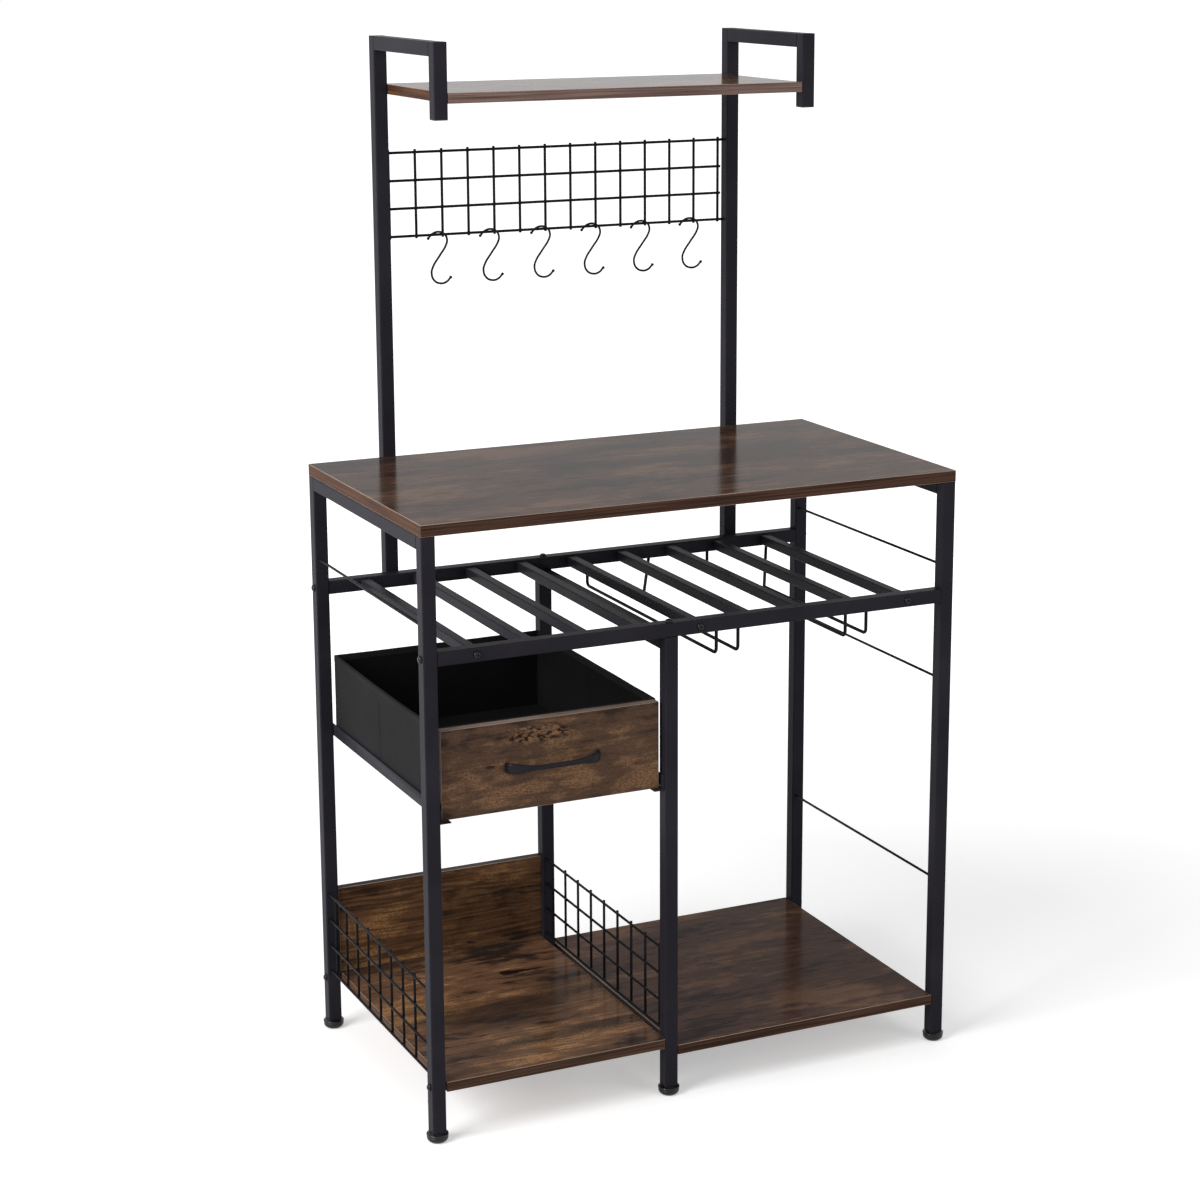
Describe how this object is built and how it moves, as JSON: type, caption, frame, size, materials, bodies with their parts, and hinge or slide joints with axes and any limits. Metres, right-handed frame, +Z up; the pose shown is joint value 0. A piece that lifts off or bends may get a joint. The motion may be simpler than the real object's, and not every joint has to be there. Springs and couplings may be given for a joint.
{
  "type": "bakers rack",
  "caption": "Free-standing kitchen rack: black steel frame, wood-look worktop and shelves, bottle rack, glass wires, fabric drawer, hutch with wire grid and hooks.",
  "frame": {"origin": "middle of the whole rack's footprint, on the floor", "axes": "+X to the right seen from the front, +Y to the back, +Z up; the drawer opens towards -Y"},
  "size_m": [0.912, 0.5426, 1.631],
  "materials": {
    "black_metal": "matt black powder coat",
    "hook_metal": "satin black lacquer",
    "black_plastic": "moulded black plastic",
    "walnut_board": "dark rustic walnut laminate, satin",
    "rustic_board": "rustic brown laminate with darker clouds, satin",
    "black_fabric": "black non-woven fabric with stitched hems"
  },
  "bodies": {
    "frame": {"worktop": "walnut_board", "upper_shelf": "walnut_board", "lower_shelf_left": "rustic_board", "lower_shelf_right": "walnut_board", "back_board": "rustic_board", "leg_front_left": "black_metal", "leg_rear_left": "black_metal", "leg_front_right": "black_metal", "leg_rear_right": "black_metal", "leg_front_middle": "black_metal", "leg_rear_middle": "black_metal", "top_rail_left": "black_metal", "top_rail_right": "black_metal", "top_rail_middle": "black_metal", "rack_rail_front": "black_metal", "rack_rail_rear": "black_metal", "rack_slat_1": "black_metal", "rack_slat_2": "black_metal", "rack_slat_3": "black_metal", "rack_slat_4": "black_metal", "rack_slat_5": "black_metal", "rack_slat_6": "black_metal", "rack_slat_7": "black_metal", "rack_slat_8": "black_metal", "rack_slat_9": "black_metal", "stemware_wire_left_straight": "black_metal", "stemware_wire_left_flared": "black_metal", "stemware_wire_right_straight": "black_metal", "stemware_wire_right_flared": "black_metal", "side_wire_left": "black_metal", "side_wire_right_upper": "black_metal", "side_wire_right_middle": "black_metal", "side_wire_right_lower": "black_metal", "side_net_left": "black_metal", "side_net_middle": "black_metal", "upright_left": "black_metal", "upright_right": "black_metal", "hutch_arm_left": "black_metal", "hutch_arm_right": "black_metal", "hook_grid": "black_metal", "foot_front_left": "black_plastic", "foot_rear_left": "black_plastic", "foot_front_middle": "black_plastic", "foot_rear_middle": "black_plastic", "foot_front_right": "black_plastic", "foot_rear_right": "black_plastic", "drawer_runner_left": "black_metal", "drawer_runner_right": "black_metal"},
    "drawer": {"drawer_box": "black_fabric", "drawer_front": "rustic_board", "drawer_handle": "black_metal"},
    "hook_body_1": {"hook_1": "hook_metal"},
    "hook_body_2": {"hook_2": "hook_metal"},
    "hook_body_3": {"hook_3": "hook_metal"},
    "hook_body_4": {"hook_4": "hook_metal"},
    "hook_body_5": {"hook_5": "hook_metal"},
    "hook_body_6": {"hook_6": "hook_metal"}
  },
  "joints": [
    {"name": "drawer_slide", "type": "slide", "parent": "frame", "child": "drawer", "axis": [0, -1, 0], "range_m": [0, 0.28]},
    {"name": "hook_1_swing", "type": "hinge", "parent": "frame", "child": "hook_body_1", "pos_m": [-0.2144, 0.2563, 1.3142], "axis": [1, 0, 0], "range_deg": [-60, 60]},
    {"name": "hook_2_swing", "type": "hinge", "parent": "frame", "child": "hook_body_2", "pos_m": [-0.124, 0.2563, 1.3142], "axis": [1, 0, 0], "range_deg": [-60, 60]},
    {"name": "hook_3_swing", "type": "hinge", "parent": "frame", "child": "hook_body_3", "pos_m": [-0.0336, 0.2563, 1.3142], "axis": [1, 0, 0], "range_deg": [-60, 60]},
    {"name": "hook_4_swing", "type": "hinge", "parent": "frame", "child": "hook_body_4", "pos_m": [0.0568, 0.2563, 1.3142], "axis": [1, 0, 0], "range_deg": [-60, 60]},
    {"name": "hook_5_swing", "type": "hinge", "parent": "frame", "child": "hook_body_5", "pos_m": [0.1472, 0.2563, 1.3142], "axis": [1, 0, 0], "range_deg": [-60, 60]},
    {"name": "hook_6_swing", "type": "hinge", "parent": "frame", "child": "hook_body_6", "pos_m": [0.2376, 0.2563, 1.3142], "axis": [1, 0, 0], "range_deg": [-60, 60]}
  ]
}
